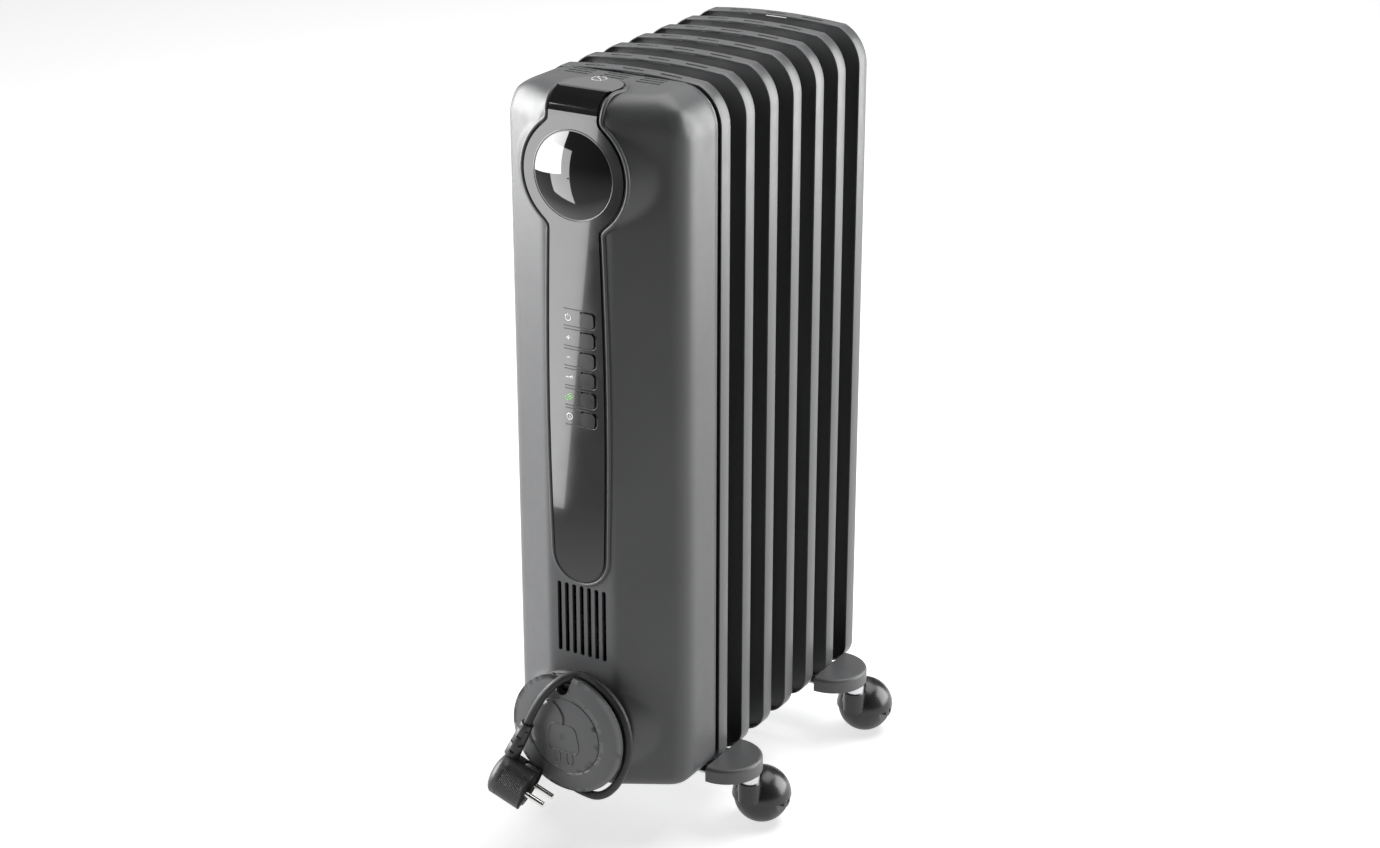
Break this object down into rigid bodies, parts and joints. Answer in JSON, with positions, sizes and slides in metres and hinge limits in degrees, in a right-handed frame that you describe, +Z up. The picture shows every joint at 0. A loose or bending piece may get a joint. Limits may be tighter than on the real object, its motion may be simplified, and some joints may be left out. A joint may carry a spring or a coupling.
{
  "type": "oil filled radiator heater",
  "caption": "Portable oil filled column radiator with ribbed fins, front control housing with round display and keys, cord winder, mains plug and swivelling ball casters",
  "frame": {"origin": "on the floor under the middle of the heater's box, its free cord and plug left out", "axes": "+Z up, the control face looks along -Y, +X is the viewer's right when facing the controls"},
  "size_m": [0.273, 0.3934, 0.6507],
  "materials": {
    "radiator": "satin dark grey paint",
    "element": "plain steel tube",
    "brass_plug": "plain",
    "plate": "zinc plated",
    "housing": "satin dark grey",
    "fasteners": "zinc plated",
    "band": "gloss black",
    "lens": "gloss, dark tint",
    "display": "dark display",
    "board": "circuit board",
    "connector": "off-white",
    "sensor": "black",
    "wires": "insulated wire",
    "hub": "satin dark grey",
    "disc": "satin dark grey",
    "cord": "matte black",
    "plug": "satin black",
    "plug_metal": "nickel plated",
    "foot": "satin dark grey",
    "keys": "gloss black",
    "hoods": "satin black",
    "wheels": "satin black",
    "pins": "bright zinc"
  },
  "bodies": {
    "heater": {"fin_1": "radiator", "fin_2": "radiator", "fin_3": "radiator", "fin_4": "radiator", "fin_5": "radiator", "fin_6": "radiator", "fin_7": "radiator", "headers": "radiator", "heating_element": "element", "oil_plug": "brass_plug", "mounting_plate": "plate", "housing": "housing", "screws": "fasteners", "control_band": "band", "display_lens": "lens", "display_module": "display", "control_board": "board", "power_board": "board", "terminal_block": "connector", "thermal_cutout": "connector", "tilt_switch": "connector", "room_sensor": "sensor", "wiring": "wires", "winder_hub": "hub", "winder_disc": "disc", "cord_gland": "cord", "cord_coil": "cord", "cord_tail": "cord", "plug_relief": "cord", "plug_body": "plug", "plug_pins": "plug_metal", "earth_clips": "plug_metal", "foot_plates": "plate", "foot_caps": "foot", "u_bolts": "fasteners", "wing_nuts": "fasteners"},
    "power_key": {"button_power": "keys"},
    "plus_key": {"button_plus": "keys"},
    "minus_key": {"button_minus": "keys"},
    "mode_key": {"button_mode": "keys"},
    "eco_key": {"button_eco": "keys"},
    "timer_key": {"button_timer": "keys"},
    "swivel_front_right": {"caster_hood_front_right": "hoods", "caster_stem_front_right": "pins", "caster_axle_front_right": "pins"},
    "wheel_front_right": {"caster_wheel_front_right": "wheels"},
    "swivel_front_left": {"caster_hood_front_left": "hoods", "caster_stem_front_left": "pins", "caster_axle_front_left": "pins"},
    "wheel_front_left": {"caster_wheel_front_left": "wheels"},
    "swivel_rear_right": {"caster_hood_rear_right": "hoods", "caster_stem_rear_right": "pins", "caster_axle_rear_right": "pins"},
    "wheel_rear_right": {"caster_wheel_rear_right": "wheels"},
    "swivel_rear_left": {"caster_hood_rear_left": "hoods", "caster_stem_rear_left": "pins", "caster_axle_rear_left": "pins"},
    "wheel_rear_left": {"caster_wheel_rear_left": "wheels"}
  },
  "joints": [
    {"name": "power_press", "type": "slide", "parent": "heater", "child": "power_key", "axis": [0, 1, 0], "range_m": [0, 0.001], "stiffness_N_per_m": 400},
    {"name": "plus_press", "type": "slide", "parent": "heater", "child": "plus_key", "axis": [0, 1, 0], "range_m": [0, 0.001], "stiffness_N_per_m": 400},
    {"name": "minus_press", "type": "slide", "parent": "heater", "child": "minus_key", "axis": [0, 1, 0], "range_m": [0, 0.001], "stiffness_N_per_m": 400},
    {"name": "mode_press", "type": "slide", "parent": "heater", "child": "mode_key", "axis": [0, 1, 0], "range_m": [0, 0.001], "stiffness_N_per_m": 400},
    {"name": "eco_press", "type": "slide", "parent": "heater", "child": "eco_key", "axis": [0, 1, 0], "range_m": [0, 0.001], "stiffness_N_per_m": 400},
    {"name": "timer_press", "type": "slide", "parent": "heater", "child": "timer_key", "axis": [0, 1, 0], "range_m": [0, 0.001], "stiffness_N_per_m": 400},
    {"name": "swivel_turn_front_right", "type": "hinge", "parent": "heater", "child": "swivel_front_right", "pos_m": [0.111, -0.0603, 0.05], "axis": [0, 0, 1], "continuous": true},
    {"name": "wheel_roll_front_right", "type": "hinge", "parent": "swivel_front_right", "child": "wheel_front_right", "pos_m": [0.111, -0.0393, 0.024], "axis": [1, 0, 0], "continuous": true},
    {"name": "swivel_turn_front_left", "type": "hinge", "parent": "heater", "child": "swivel_front_left", "pos_m": [-0.111, -0.0603, 0.05], "axis": [0, 0, 1], "continuous": true},
    {"name": "wheel_roll_front_left", "type": "hinge", "parent": "swivel_front_left", "child": "wheel_front_left", "pos_m": [-0.111, -0.0393, 0.024], "axis": [1, 0, 0], "continuous": true},
    {"name": "swivel_turn_rear_right", "type": "hinge", "parent": "heater", "child": "swivel_rear_right", "pos_m": [0.111, 0.1327, 0.05], "axis": [0, 0, 1], "continuous": true},
    {"name": "wheel_roll_rear_right", "type": "hinge", "parent": "swivel_rear_right", "child": "wheel_rear_right", "pos_m": [0.111, 0.1537, 0.024], "axis": [1, 0, 0], "continuous": true},
    {"name": "swivel_turn_rear_left", "type": "hinge", "parent": "heater", "child": "swivel_rear_left", "pos_m": [-0.111, 0.1327, 0.05], "axis": [0, 0, 1], "continuous": true},
    {"name": "wheel_roll_rear_left", "type": "hinge", "parent": "swivel_rear_left", "child": "wheel_rear_left", "pos_m": [-0.111, 0.1537, 0.024], "axis": [1, 0, 0], "continuous": true}
  ]
}
